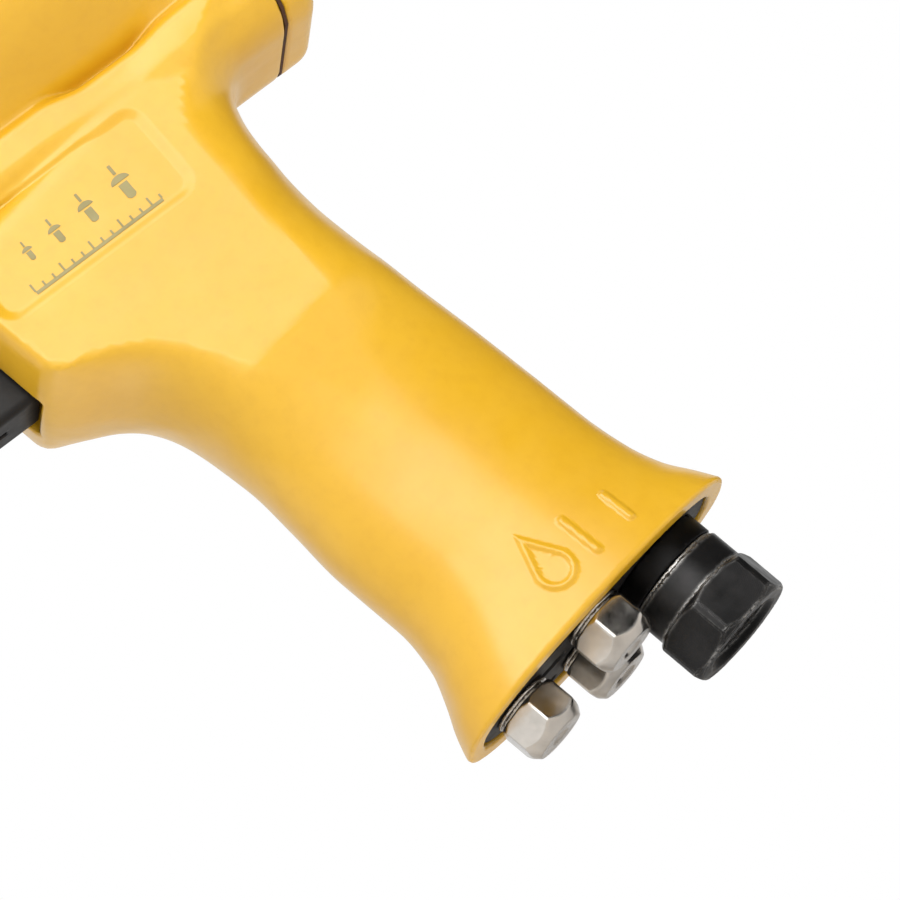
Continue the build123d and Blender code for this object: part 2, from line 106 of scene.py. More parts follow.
def net(f, lo, hi, h, slab=24):
    """Closed quad mesh of f < 0 inside the box lo..hi, on a grid of pitch h."""
    lo, hi = np.array(lo, float), np.array(hi, float)
    n = np.ceil((hi - lo) / h).astype(int) + 1
    ax = [lo[k] + h * np.arange(n[k]) for k in range(3)]
    V = np.empty(n, np.float32)
    Y, Z = np.meshgrid(ax[1], ax[2], indexing="ij")
    for i in range(0, n[0], slab):
        X = ax[0][i:i + slab][:, None, None]
        V[i:i + slab] = f(X + 0 * Y[None], Y[None] + 0 * X, Z[None] + 0 * X)
    V[V == 0] = 1e-6
    s = V < 0
    c = n - 1
    acc = np.zeros((int(np.prod(c)), 4))
    quads = []

    def cid(i, j, k):
        return (i * c[1] + j) * c[2] + k

    for a in range(3):
        sl0 = [slice(None)] * 3
        sl1 = [slice(None)] * 3
        sl0[a], sl1[a] = slice(0, -1), slice(1, None)
        A, B = V[tuple(sl0)], V[tuple(sl1)]
        idx = np.nonzero((A < 0) != (B < 0))
        va, vb = A[idx], B[idx]
        t = va / (va - vb)
        pos = np.stack(idx, 1).astype(float)
        pos[:, a] += t
        b1, b2 = (a + 1) % 3, (a + 2) % 3
        cells = []
        for d1, d2 in ((0, 0), (-1, 0), (-1, -1), (0, -1)):
            q = np.stack(idx, 1)
            q[:, b1] += d1
            q[:, b2] += d2
            ok = (q >= 0).all(1) & (q < c).all(1)
            ids = np.where(ok, cid(q[:, 0], q[:, 1], q[:, 2]), -1)
            cells.append(ids)
            for m in range(3):
                acc[:, m] += np.bincount(ids[ok], pos[ok, m], acc.shape[0])
            acc[:, 3] += np.bincount(ids[ok], minlength=acc.shape[0])
        q4 = np.stack(cells, 1)
        good = (q4 >= 0).all(1)
        q4 = np.where((va < 0)[:, None], q4, q4[:, ::-1])
        quads.append(q4[good])
    used = np.nonzero(acc[:, 3])[0]
    remap = np.full(acc.shape[0], -1)
    remap[used] = np.arange(len(used))
    P = lo + h * acc[used, :3] / acc[used, 3:4]
    return P, remap[np.concatenate(quads)]


def grad(f, P, e):
    x, y, z = P[:, 0], P[:, 1], P[:, 2]
    g = np.stack([f(x + e, y, z) - f(x - e, y, z), f(x, y + e, z) - f(x, y - e, z), f(x, y, z + e) - f(x, y, z - e)], 1)
    return g / (2 * e)


def settle(f, P, h, rounds=4):
    for _ in range(rounds):
        g = grad(f, P, 0.12 * h)
        m = np.maximum((g * g).sum(1), 0.15)
        step = (f(P[:, 0], P[:, 1], P[:, 2]) / m)[:, None] * g
        ln = np.linalg.norm(step, axis=1)
        step *= np.minimum(1, 0.45 * h / np.maximum(ln, 1e-9))[:, None]
        P = P - step
    return P


def refine(P, Q, mask):
    """Splits the quads where mask is true into 3 x 3, and turns their neighbours into fans."""
    import bmesh
    bm = bmesh.new()
    vs = [bm.verts.new(p) for p in P]
    fs = []
    for q in Q:
        try:
            fs.append(bm.faces.new([vs[i] for i in q]))
        except ValueError:
            fs.append(None)
    es = set()
    for f, m in zip(fs, mask):
        if m and f is not None:
            es.update(f.edges)
    bmesh.ops.subdivide_edges(bm, edges=list(es), cuts=2, use_grid_fill=True)
    bm.verts.index_update()
    P2 = np.array([v.co[:] for v in bm.verts])
    F2 = [[v.index for v in f.verts] for f in bm.faces]
    bm.free()
    return P2, F2


def mesh_piece(name, f, lo, hi, h, detail=None, rounds=4, normals=True):
    """One closed mesh piece of an SDF given in mm; detail(P) picks quads to refine."""
    P, Q = net(f, lo, hi, h)
    P = settle(f, P, h, rounds)
    faces = Q
    if detail is not None:
        C = P[Q].mean(1)
        P, faces = refine(P, Q, detail(C))
        P = settle(f, P, h / 3, 5)
    me = bpy.data.meshes.new(name)
    if isinstance(faces, np.ndarray):
        nf = len(faces)
        me.vertices.add(len(P))
        me.vertices.foreach_set("co", (P / 1000).astype(np.float32).ravel())
        me.loops.add(nf * 4)
        me.loops.foreach_set("vertex_index", faces.astype(np.int32).ravel())
        me.polygons.add(nf)
        me.polygons.foreach_set("loop_start", np.arange(0, nf * 4, 4, dtype=np.int32))
        me.update(calc_edges=True)
    else:
        me.from_pydata((P / 1000).tolist(), [], faces)
    me.validate()
    me.polygons.foreach_set("use_smooth", np.ones(len(me.polygons), bool))
    if normals:
        co = np.zeros(len(me.vertices) * 3, np.float32)
        me.vertices.foreach_get("co", co)
        g = grad(f, co.reshape(-1, 3).astype(float) * 1000, 0.25 * h if detail is None else 0.12 * h)
        g /= np.maximum(np.linalg.norm(g, axis=1, keepdims=True), 1e-9)
        me.normals_split_custom_set_from_vertices(g.tolist())
    ob = bpy.data.objects.new(name, me)
    bpy.context.scene.collection.objects.link(ob)
    return ob


# ====================================================================================================================
# Housing
# ====================================================================================================================
GRIP = np.array([
    (10.0, -50.4, -47.2, 22.0, 30.0, 19.2, 2.0),
    (24.0, -50.4, -47.2, 22.0, 30.0, 19.2, 2.0),
    (31.7, -50.4, -47.2, 9.6, 20.0, 19.2, 2.0),
    (34.5, -50.4, -47.2, 4.4, 15.0, 19.2, 2.0),
    (37.0, -50.4, -47.2, 1.0, 12.6, 19.2, 2.0),
    (40.8, -50.4, -47.2, -2.4, 10.8, 19.2, 2.0),
    (45.0, -50.4, -47.2, -3.5, 9.0, 19.2, 2.0),
    (48.0, -50.4, -47.2, -3.9, 8.2, 19.2, 2.0),
    (50.8, -50.4, -47.2, -4.0, 7.6, 19.2, 2.0),
    (52.8, -50.3, -46.2, -4.1, 7.4, 19.2, 1.9),
    (54.6, -49.5, -42.5, -4.3, 7.2, 19.2, 1.8),
    (57.0, -47.2, -38.0, -4.6, 7.0, 19.2, 1.72),
    (60.0, -43.0, -34.0, -5.0, 6.8, 19.2, 1.68),
    (64.0, -39.1, -31.0, -5.5, 6.6, 19.2, 1.7),
    (70.0, -36.7, -27.5, -6.2, 6.6, 19.2, 1.8),
    (75.4, -35.8, -25.2, -7.0, 6.7, 19.2, 1.95),
    (76.6, -35.7, -24.6, -7.5, 6.8, 19.0, 2.0),
    (84.0, -35.7, -20.0, -11.0, 7.3, 17.55, 2.1),
    (94.0, -36.6, -15.8, -13.6, 8.0, 16.5, 2.15),
    (106.0, -37.8, -15.2, -14.6, 8.5, 16.0, 2.15),
    (118.0, -37.8, -15.2, -14.6, 8.8, 16.0, 2.15),
    (126.0, -39.2, -15.3, -14.9, 9.6, 16.2, 2.2),
    (132.0, -42.1, -15.7, -15.3, 11.2, 16.6, 2.25),
    (137.0, -45.1, -16.0, -15.6, 13.8, 17.0, 2.3),
    (141.2, -46.9, -16.2, -15.8, 15.9, 17.3, 2.3),
    (150.0, -49.6, -16.2, -15.8, 19.5, 17.8, 2.3),
])


def pchip_table(T, step=0.2, sigma=0.6):
    w = T[:, 0]
    wf = np.arange(w[0], w[-1], step)
    out = [wf]
    for c in range(1, T.shape[1]):
        y = T[:, c]
        hh, dl = np.diff(w), np.diff(y) / np.diff(w)
        m = np.zeros(len(w))
        for i in range(1, len(w) - 1):
            if dl[i - 1] * dl[i] > 0:
                a, b = 2 * hh[i] + hh[i - 1], hh[i] + 2 * hh[i - 1]
                m[i] = (a + b) / (a / dl[i - 1] + b / dl[i])
        m[0], m[-1] = dl[0], dl[-1]
        i = np.clip(np.searchsorted(w, wf) - 1, 0, len(w) - 2)
        t = (wf - w[i]) / hh[i]
        v = ((1 + 2 * t) * (1 - t) ** 2 * y[i] + t * (1 - t) ** 2 * hh[i] * m[i] + t * t * (3 - 2 * t) * y[i + 1]
             + t * t * (t - 1) * hh[i] * m[i + 1])
        k = np.exp(-0.5 * (np.arange(-12, 13) * step / sigma) ** 2)
        v = np.convolve(np.pad(v, 12, mode="edge"), k / k.sum(), "valid")
        out.append(v)
    return out


GT = pchip_table(GRIP)


def grip(u, v, w):
    """Distance to the grip's side surface."""
    uf, ufs, urs, ur, h, n = (np.interp(w, GT[0], GT[i]) for i in range(1, 7))
    mid = 0.5 * (ufs + urs)
    rear = u > mid
    du = np.where(rear, u - urs, ufs - u)
    A = np.where(rear, ur - urs, ufs - uf)
    a = np.maximum(du, 0) / A
    b = np.abs(v) / h
    s = np.maximum(a ** n + b ** n, 1e-6) ** (1 / n)
    gu = s ** (1 - n) * a ** (n - 1) / A
    gv = s ** (1 - n) * b ** (n - 1) / h
    g = np.sqrt(gu * gu + gv * gv)
    return (s - 1) / np.maximum(g, 1 / 30.0)


def drop_mark(u, w):
    """Raised marks near the air inlet: an outlined oil drop with two bars beside it. 0..1."""
    du, dw = u + 18.6, w - 133.0
    ball = np.sqrt(du * du + dw * dw) - 3.05
    sa, ca = 3.05 / 7.2, math.sqrt(1 - (3.05 / 7.2) ** 2)
    tip = np.maximum(np.abs(du) * ca - (dw + 7.2) * sa, dw + 3.05 * sa)
    ring = np.abs(np.minimum(ball, tip)) - 0.5
    bar = rbox2(u + 11.6, w - 132.2, 0.65, 4.3, 0.6)
    bar2 = rbox2(u + 3.4, w - 133.2, 0.65, 3.4, 0.6)
    m = np.minimum(np.minimum(ring, bar), bar2)
    return 1 - sstep(-0.4, 0.4, m)


def block_lower(ay, z, k):
    """Cross-section of the block below the barrel: flat side, two facets, flat underside."""
    d = smax(ay - 19.2, (ay - 19.2) * 0.726 - (z + 37.2) * 0.688, k)
    d = smax(d, (ay - 15.6) * 0.329 - (z + 41.0) * 0.944, k)
    return smax(d, -42.75 - z, k)


def f_housing(x, y, z):
    ay = np.abs(y)
    r = np.sqrt(y * y + z * z)
    u, v, w = uvw(x, y, z)
    # barrel and snout
    low = np.where(z < 0, 0.9 * np.exp(-((z + 27.0) / 5.0) ** 2), 0.0)
    d = smax(r - 35.3 + low, 80.2 - x, 9.0)
    sn = smax(r - 21.4 - 1.2 * sstep(60, 84, x), X_SN - x, 2.4)
    d = smin(d, sn, 13.0)
    # block below the barrel; its top edge drops towards the rear
    t = sstep(162.0, 171.5, x)
    blk = block_lower(ay, z, 1.0)
    blk = smax(blk, z + 30.2 + 1.7 * t, 2.4)
    blk = smax(blk, -(x - 103) * 0.5 - (z + 43.2) * 0.866, 7.0)
    d = smin(d, blk, 1.4)
    # grip
    g = smax(grip(u, v, w), 26.0 - w, 5.0)
    k = 1.2 + 4.0 * sstep(177, 189, x)
    d = smin(d, g, k)
    # ears for the upper screws
    rr = np.interp(x, [156, 186, 210], [-3.0, 6.5, 6.5])
    ear = np.sqrt((ay - 26.6) ** 2 + (z - 26.6) ** 2) - rr
    d = smin(d, ear, 5.0)
    # ends
    d = smax(d, x - 205.4 - 20.0 * sstep(-80.0, -100.0, z), 0.7)
    d = smax(d, w - 141.2, 1.1)
    # sunk side panel
    p = rbox2(x - 155.2, z + 48.55, 19.8, 9.05, 3.4)
    side = np.maximum((x - 155.2) - 10.8, -(z + 48.55))
    wall = 1.05 + 0.85 * sstep(-2.5, 2.5, side)
    q = np.clip((0.3 - p) / wall, 0, 1)
    sink = 0.6 * (0.6 * q * q * (3 - 2 * q) + 0.4 * q)
    d = d + np.where(ay > 14, sink, 0)
    # raised marks near the foot, on both sides
    near = (ay > 8) & (w > 122) & (w < 140)
    if np.any(near):
        d = d - np.where(near, 0.5 * drop_mark(u, w), 0)
    # trigger pocket
    pk = smax(smax(x - 141.0, ay - 7.4, 1.2), smax(z + 44.6, -67.6 - z, 1.2), 1.2)
    d = smax(d, -pk, 0.9)
    # bores
    d = np.maximum(d, -np.maximum(np.maximum(r - 30.0, 84.8 - x), x - 230))
    d = np.maximum(d, -np.maximum(r - 15.0, x - 76.0))
    d = np.maximum(d, -np.maximum(r - 9.4, x - 84.0))
    rv = np.sqrt(y * y + (z + 55.7) ** 2)
    d = np.maximum(d, -np.maximum(np.maximum(rv - 8.0, x - 174.5), 139 - x))
    d = np.maximum(d, -np.maximum(np.maximum(rv - 6.5, x - 184.6), 174 - x))
    ri = np.sqrt((u + 1.4) ** 2 + v * v)
    d = np.maximum(d, -np.maximum(ri - 8.0, 112.0 - w))
    d = np.maximum(d, -np.maximum(ri - 4.5, 48.0 - w))
    # foot pocket
    a, b = np.abs(u + 15.75) / 27.4, ay / 12.4
    s = np.maximum(a ** 2.4 + b ** 2.4, 1e-6) ** (1 / 2.4)
    gg = np.sqrt((s ** -1.4 * a ** 1.4 / 27.4) ** 2 + (s ** -1.4 * b ** 1.4 / 12.4) ** 2)
    fp = (s - 1) / np.maximum(gg, 0.03)
    d = smax(d, -np.maximum(fp, 136.7 - w), 0.7)
    pad = np.maximum(rbox2(u + 24.5, y, 13.0, 9.5, 6.0), 128.4 - w)
    d = np.maximum(d, -pad)
    rx = np.sqrt((u + 26.5) ** 2 + v * v)
    d = np.maximum(d, -np.maximum(np.maximum(rx - 3.5, w - 129.0), 46.0 - w))
    for su, sv in ((-34.2, 0.0), (-17.5, 6.8)):
        d = np.maximum(d, -np.maximum(np.sqrt((u - su) ** 2 + (np.abs(v) - sv) ** 2) - 4.3, 131.4 - w))
    return d


X_SN = 56.0


def housing_detail(C):
    u, v, w = uvw(C[:, 0], C[:, 1], C[:, 2])
    x, y, z = C[:, 0], C[:, 1], C[:, 2]
    out = np.sqrt(y * y + z * z) > 31
    panel = (np.abs(rbox2(x - 155.2, z + 48.55, 19.8, 9.05, 3.4)) < 2.6) & (np.abs(y) > 17)
    marks = (w > 124) & (w < 139) & (u > -24) & (u < -1) & (np.abs(y) > 11.5)
    pocket = (np.abs(y) < 10) & (x < 137) & (z > -71) & (z < -42) & (x > 126)
    ledge = (z < -27) & (z > -35) & (np.abs(y) > 11.5) & (np.abs(y) < 21) & (x > 95)
    seam = (x > 203.6) & (np.sqrt(y * y + z * z) > 33)
    rim = (w > 138.6)
    return (panel | marks | pocket | (ledge & out) | seam | rim)


# ====================================================================================================================
# Smaller pieces
# ====================================================================================================================
def inset(pts, r):
    P = np.array(pts, float)
    area = 0.5 * np.sum(P[:, 0] * np.roll(P[:, 1], -1) - np.roll(P[:, 0], -1) * P[:, 1])
    if area < 0:
        P = P[::-1]
    e = np.roll(P, -1, 0) - P
    n = np.stack([e[:, 1], -e[:, 0]], 1) / np.linalg.norm(e, axis=1, keepdims=True)
    n0 = np.roll(n, 1, 0)
    return P - r * (n0 + n) / (1 + (n0 * n).sum(1, keepdims=True))


def poly(px, py, pts, r=0.0):
    """Signed distance to a polygon whose corners are rounded by r."""
    P = inset(pts, r) if r else np.array(pts, float)
    d = None
    s = np.ones(np.shape(px + py))
    n = len(P)
    for i in range(n):
        a, b = P[i], P[(i + 1) % n]
        e = b - a
        wx, wy = px - a[0], py - a[1]
        t = np.clip((wx * e[0] + wy * e[1]) / (e @ e), 0, 1)
        q = (wx - e[0] * t) ** 2 + (wy - e[1] * t) ** 2
        d = q if d is None else np.minimum(d, q)
        c1, c2, c3 = py >= a[1], py < b[1], e[0] * wy > e[1] * wx
        s = np.where((c1 & c2 & c3) | (~c1 & ~c2 & ~c3), -s, s)
    return s * np.sqrt(d) - r


def f_cap(x, y, z):
    ay, r = np.abs(y), np.sqrt(y * y + z * z)
    d = r - 35.3
    blk = smax(block_lower(ay, z, 1.0), z + 32.1, 2.8)
    d = smin(d, blk, 2.0)
    ear = np.sqrt((ay - 26.6) ** 2 + (z - 26.6) ** 2) - 6.5
    d = smin(d, ear, 5.0)
    d = smax(smax(d, x - 212.6, 3.0), 206.0 - x, 0.7)
    boss = smax(r - 17.0, x - 215.6, 0.8)
    neck = smax(r - 13.0, x - 223.6, 0.8)
    d = smin(d, np.minimum(boss, neck), 1.5)
    d = np.maximum(d, 206.0 - x)
    d = smax(d, -(r - 8.5), 0.4)
    for sy, sz in ((11.0, -37.6), (26.6, 26.6)):
        q = np.sqrt((ay - sy) ** 2 + (z - sz) ** 2)
        d = np.maximum(d, -(q - 2.2))
        d = smax(d, -np.maximum(q - 3.7, 208.4 - x), 0.5)
    return d


def f_nosepiece(a, b, t, hole, turn):
    """t runs from the front face into the piece; a and b are across it."""
    r = np.sqrt(a * a + b * b)
    d = poly(t, r, [(0, -5), (0, 4.75), (2.35, 6.62), (6.55, 6.62), (7.4, 5.9), (7.4, -5)], 0.28)
    d = smax(d, hexr(a, b, 11.4, 0.35, turn), 0.35)
    th = np.arctan2(b, a)
    body = poly(t, r, [(7.0, -5), (7.0, 4.6), (7.9, 4.6), (7.9, 5.6), (8.5, 5.6), (8.5, 3.7), (14.0, 3.6), (17.5, 2.9),
                       (17.5, -5)], 0.12)
    ridge = np.maximum(np.maximum(r - 3.72 - 0.22 * np.cos(2 * np.pi * t / 1.0 - th), t - 13.8), 8.4 - t)
    d = np.minimum(np.minimum(d, body), ridge)
    d = smax(d, -(r - hole), 0.25)
    return smax(d, -(r - hole - 0.55 + t), 0.2)


def f_connector(x, y, z):
    u, v, w = uvw(x, y, z)
    a, b = u + 1.4, v
    r = np.sqrt(a * a + b * b)
    d = poly(w, r, [(113.2, -3), (113.2, 6.0), (145.05, 6.0), (145.05, 9.0), (145.7, 9.0), (145.7, 9.45), (151.6, 9.45),
                    (151.6, -3)], 0.18)
    hx = poly(w, r, [(151.2, -3), (151.2, 9.8), (152.3, 11.2), (158.7, 11.2), (159.9, 9.85), (159.9, -3)], 0.3)
    hx = smax(hx, hexr(a, b, 19.6, 0.3, math.radians(114.5)), 0.25)
    hx = smax(hx, hexd(a, b, 21.9, math.radians(84.5)), 0.06)
    d = np.minimum(d, hx)
    d = np.maximum(d, -(r - 3.6))
    th = np.arctan2(b, a)
    ph = (w / 1.337 - th / (2 * np.pi)) % 1.0
    cut = 5.92 + 0.62 * (1 - np.abs(2 * ph - 1)) ** 1.0
    d = smax(d, -np.maximum(r - cut, 148.2 - w), 0.12)
    d = smax(d, -(r - 7.55 - (w - 159.9)), 0.25)
    g = np.maximum(np.abs(w - 114.5) - 0.55, 5.2 - r)
    return np.maximum(d, -g)


def f_bushing(x, y, z):
    u, v, w = uvw(x, y, z)
    r = np.sqrt((u + 1.4) ** 2 + v * v)
    return poly(w, r, [(116.0, 6.05), (116.0, 8.0), (140.7, 8.0), (140.7, 9.2), (145.0, 9.2), (145.0, 6.05), (137.2, 6.05),
                       (137.2, 7.35), (135.0, 7.35), (135.0, 6.05)], 0.2)


def f_plate(x, y, z):
    u, v, w = uvw(x, y, z)
    a, b = np.abs(u + 15.75) / 27.25, np.abs(v) / 12.25
    s = np.maximum(a ** 2.4 + b ** 2.4, 1e-6) ** (1 / 2.4)
    g = np.sqrt((s ** -1.4 * a ** 1.4 / 27.25) ** 2 + (s ** -1.4 * b ** 1.4 / 12.25) ** 2)
    d = (s - 1) / np.maximum(g, 0.03)
    d = smax(smax(d, w - 140.7, 0.8), 136.7 - w, 0.4)
    for su, sv, sr in ((-1.4, 0, 8.0), (-34.2, 0, 4.0), (-17.5, 6.8, 4.0)):
        d = smax(d, -(np.sqrt((u - su) ** 2 + (np.abs(v) - sv) ** 2) - sr), 0.5)
    d = smax(d, -rbox2(u + 26.6, np.abs(v) - 9.0, 2.5, 0.8, 0.8), 0.25)
    return smax(d, -rbox2(u + 26.0, v, 3.0, 1.2, 1.2), 0.25)


def f_trigger(x, y, z):
    t = np.clip((z + 66.2) / 20.8, -0.2, 1.2)
    ay = np.abs(y)
    d = smax(ay - 6.5, (116.4 + 11.4 * t - 9.2 * t * t - x) * 0.93, 3.2)
    d = smax(d, smax(z + 45.4, -66.2 - z, 0.8), 1.6)
    d = smax(d, x - 135.6, 0.8)
    d = smax(d, -np.maximum(np.maximum(ay - 0.75, np.abs(x - 124.0) - 4.5), z + 65.0), 0.3)
    rv = np.sqrt(y * y + (z + 55.7) ** 2)
    d = np.maximum(d, -np.maximum(rv - 2.5, 124.0 - x))
    rp = np.sqrt((x - 128.0) ** 2 + (z + 55.7) ** 2)
    return np.maximum(d, -(rp - 1.0))


SLEEVE = [(8.5, 4.0), (8.5, 8.6), (9.6, 10.2), (20.0, 12.4), (44.0, 13.0), (47.5, 13.0), (47.5, 15.0), (76.0, 15.0),
          (76.0, 10.5), (16.5, 10.5), (14.5, 8.5), (14.5, 4.0)]


def f_sleeve(x, y, z):
    r = np.sqrt(y * y + z * z)
    d = poly(x, r, SLEEVE, 0.35)
    d = smax(d, -np.maximum(11.5 - np.abs(y), np.abs(x - 32) - 5), 0.5)
    th = np.arctan2(z, y)
    g = np.maximum(15.0 - 0.35 * (1 + np.cos(2 * np.pi * x / 1.5 - th)) - r, np.maximum(57.5 - x, x - 75.0))
    return np.maximum(d, -g)


def f_locknut(x, y, z):
    r = np.sqrt(y * y + z * z)
    d = poly(x, r, [(48.0, 15.02), (48.0, 19.0), (49.5, 20.6), (54.5, 20.6), (56.0, 19.0), (56.0, 15.02)], 0.3)
    return smax(d, hexr(y, z, 36.0, 0.8), 0.5)


BOTTLE = [(215.6, 13.05), (215.6, 17.5), (217.1, 19.0), (224.6, 19.0), (226.6, 21.0), (249.6, 21.0), (253.6, 19.5),
          (255.6, 16.5), (255.6, -4), (253.6, -4), (253.6, 16.0), (252.0, 18.2), (249.2, 19.2), (227.2, 19.2),
          (225.4, 17.2), (224.6, 13.05)]


def f_bottle(x, y, z):
    r = np.sqrt(y * y + z * z)
    d = poly(x, r, BOTTLE, 0.5)
    th = np.arctan2(z, y)
    k = (th * 20 / (2 * np.pi) + 0.5) % 1.0 - 0.5
    k = k * 2 * np.pi / 20
    q = np.sqrt((r * np.cos(k) - 19.6) ** 2 + (r * np.sin(k)) ** 2)
    d = smax(d, -smax(q - 1.3, np.abs(x - 221.0) - 3.0, 0.8), 0.5)
    k2 = (th * 6 / (2 * np.pi) + 0.5) % 1.0 - 0.5
    k2 = k2 * 2 * np.pi / 6
    sl = rbox2(x - 239.0, r * np.sin(k2), 7.0, 1.5, 1.4)
    return smax(d, -np.maximum(sl, np.maximum(20.4 - r, 0 * r - 9)), 0.35)


def coil_piece(name, radius, wire, x0, x1, turns, y=0.0, z=0.0, seg=36, ring=12):
    """Helical spring along X, its ends closed flat."""
    n = int(turns * seg)
    s = np.linspace(0, 1, n + 1)
    close = 0.9 / turns
    dens = 0.32 + 0.68 * sstep(0, close, s) * sstep(0, close, 1 - s)
    pos = np.concatenate([[0], np.cumsum(0.5 * (dens[1:] + dens[:-1]))])
    X = x0 + wire + (x1 - x0 - 2 * wire) * pos / pos[-1]
    A = 2 * np.pi * turns * s
    verts = []
    for i in range(n + 1):
        c, q = math.cos(A[i]), math.sin(A[i])
        for j in range(ring):
            b = 2 * np.pi * j / ring
            rr = radius + wire * math.cos(b)
            verts.append(((X[i] + wire * math.sin(b)) / 1000, (y + rr * c) / 1000, (z + rr * q) / 1000))
    faces = []
    for i in range(n):
        for j in range(ring):
            k = (j + 1) % ring
            faces.append((i * ring + j, i * ring + k, (i + 1) * ring + k, (i + 1) * ring + j))
    faces.append(tuple(range(ring))[::-1])
    faces.append(tuple(n * ring + j for j in range(ring)))
    me = bpy.data.meshes.new(name)
    me.from_pydata(verts, [], faces)
    me.polygons.foreach_set("use_smooth", np.ones(len(me.polygons), bool))
    ob = bpy.data.objects.new(name, me)
    bpy.context.scene.collection.objects.link(ob)
    import bmesh
    bm = bmesh.new()
    bm.from_mesh(me)
    bmesh.ops.recalc_face_normals(bm, faces=bm.faces)
    bm.to_mesh(me)
    bm.free()
    return ob


# ====================================================================================================================
# Materials
# ====================================================================================================================
def lin(c):
    return tuple(((v / 255 + 0.055) / 1.055) ** 2.4 if v > 10 else v / 255 / 12.92 for v in c) + (1.0,)


class Nodes:
    """Small helper that builds one material's node tree."""

    def __init__(self, name):
        self.m = bpy.data.materials.new(name)
        self.m.use_nodes = True
        self.t = self.m.node_tree
        self.t.nodes.clear()
        self.out = self.t.nodes.new("ShaderNodeOutputMaterial")
        self.b = self.t.nodes.new("ShaderNodeBsdfPrincipled")
        self.t.links.new(self.b.outputs[0], self.out.inputs[0])
        self.co = self.t.nodes.new("ShaderNodeTexCoord").outputs["Object"]

    def put(self, sock, v):
        if hasattr(v, "links"):
            self.t.links.new(v, sock)
        else:
            sock.default_value = v

    def map(self, scale, rot=(0, 0, 0)):
        n = self.t.nodes.new("ShaderNodeMapping")
        n.inputs["Scale"].default_value = scale if hasattr(scale, "__len__") else (scale,) * 3
        n.inputs["Rotation"].default_value = rot
        self.t.links.new(self.co, n.inputs["Vector"])
        return n.outputs[0]

    def noise(self, scale, detail=3.0, rough=0.5, vec=None):
        """scale is in features per metre."""
        n = self.t.nodes.new("ShaderNodeTexNoise")
        n.inputs["Scale"].default_value = scale
        n.inputs["Detail"].default_value = detail
        n.inputs["Roughness"].default_value = rough
        self.t.links.new(vec if vec is not None else self.co, n.inputs["Vector"])
        return n.outputs[0]

    def vor(self, scale, kind="F1", out="Distance"):
        n = self.t.nodes.new("ShaderNodeTexVoronoi")
        n.feature = kind
        n.inputs["Scale"].default_value = scale
        self.t.links.new(self.co, n.inputs["Vector"])
        return n.outputs[out]

    def rng(self, v, a, b, c=0.0, d=1.0):
        n = self.t.nodes.new("ShaderNodeMapRange")
        self.put(n.inputs["Value"], v)
        for k, q in zip(("From Min", "From Max", "To Min", "To Max"), (a, b, c, d)):
            n.inputs[k].default_value = q
        n.clamp = True
        return n.outputs[0]

    def math(self, op, a, b=0.0):
        n = self.t.nodes.new("ShaderNodeMath")
        n.operation = op
        self.put(n.inputs[0], a)
        self.put(n.inputs[1], b)
        return n.outputs[0]

    def mix(self, f, a, b):
        n = self.t.nodes.new("ShaderNodeMix")
        n.data_type = "RGBA"
        self.put(n.inputs["Factor"], f)
        ins = [s for s in n.inputs if s.type == "RGBA"]
        self.put(ins[0], a)
        self.put(ins[1], b)
        return [s for s in n.outputs if s.type == "RGBA"][0]

    def edge(self, radius, lo=0.02, hi=0.25):
        """1 near convex and concave corners, 0 on open faces."""
        bv = self.t.nodes.new("ShaderNodeBevel")
        bv.samples = 6
        bv.inputs["Radius"].default_value = radius / 1000
        ge = self.t.nodes.new("ShaderNodeNewGeometry")
        d = self.t.nodes.new("ShaderNodeVectorMath")
        d.operation = "DOT_PRODUCT"
        self.t.links.new(bv.outputs[0], d.inputs[0])
        self.t.links.new(ge.outputs["Normal"], d.inputs[1])
        return self.rng(self.math("SUBTRACT", 1.0, d.outputs["Value"]), lo, hi)

    def bump(self, height, dist, strength=1.0, normal=None):
        n = self.t.nodes.new("ShaderNodeBump")
        n.inputs["Strength"].default_value = strength
        n.inputs["Distance"].default_value = dist / 1000
        self.t.links.new(height, n.inputs["Height"])
        if normal is not None:
            self.t.links.new(normal, n.inputs["Normal"])
        return n.outputs[0]

    def axis_angle(self, origin, axis_x):
        """(distance along an axis, radius from it), in mm, as sockets."""
        g = self.t.nodes.new("ShaderNodeVectorMath")
        g.operation = "SUBTRACT"
        self.t.links.new(self.co, g.inputs[0])
        g.inputs[1].default_value = tuple(c / 1000 for c in origin)
        d = self.t.nodes.new("ShaderNodeVectorMath")
        d.operation = "DOT_PRODUCT"
        self.t.links.new(g.outputs[0], d.inputs[0])
        d.inputs[1].default_value = axis_x
        p = self.t.nodes.new("ShaderNodeVectorMath")
        p.operation = "CROSS_PRODUCT"
        self.t.links.new(g.outputs[0], p.inputs[0])
        p.inputs[1].default_value = axis_x
        q = self.t.nodes.new("ShaderNodeVectorMath")
        q.operation = "LENGTH"
        self.t.links.new(p.outputs[0], q.inputs[0])
        return self.math("MULTIPLY", d.outputs["Value"], 1000.0), self.math("MULTIPLY", q.outputs["Value"], 1000.0)

    def done(self, colour, rough, metal=0.0, normal=None, **kw):
        self.put(self.b.inputs["Base Color"], colour)
        self.put(self.b.inputs["Roughness"], rough)
        self.put(self.b.inputs["Metallic"], metal)
        if normal is not None:
            self.t.links.new(normal, self.b.inputs["Normal"])
        for k, v in kw.items():
            self.put(self.b.inputs[k.replace("_", " ")], v)
        return self.m


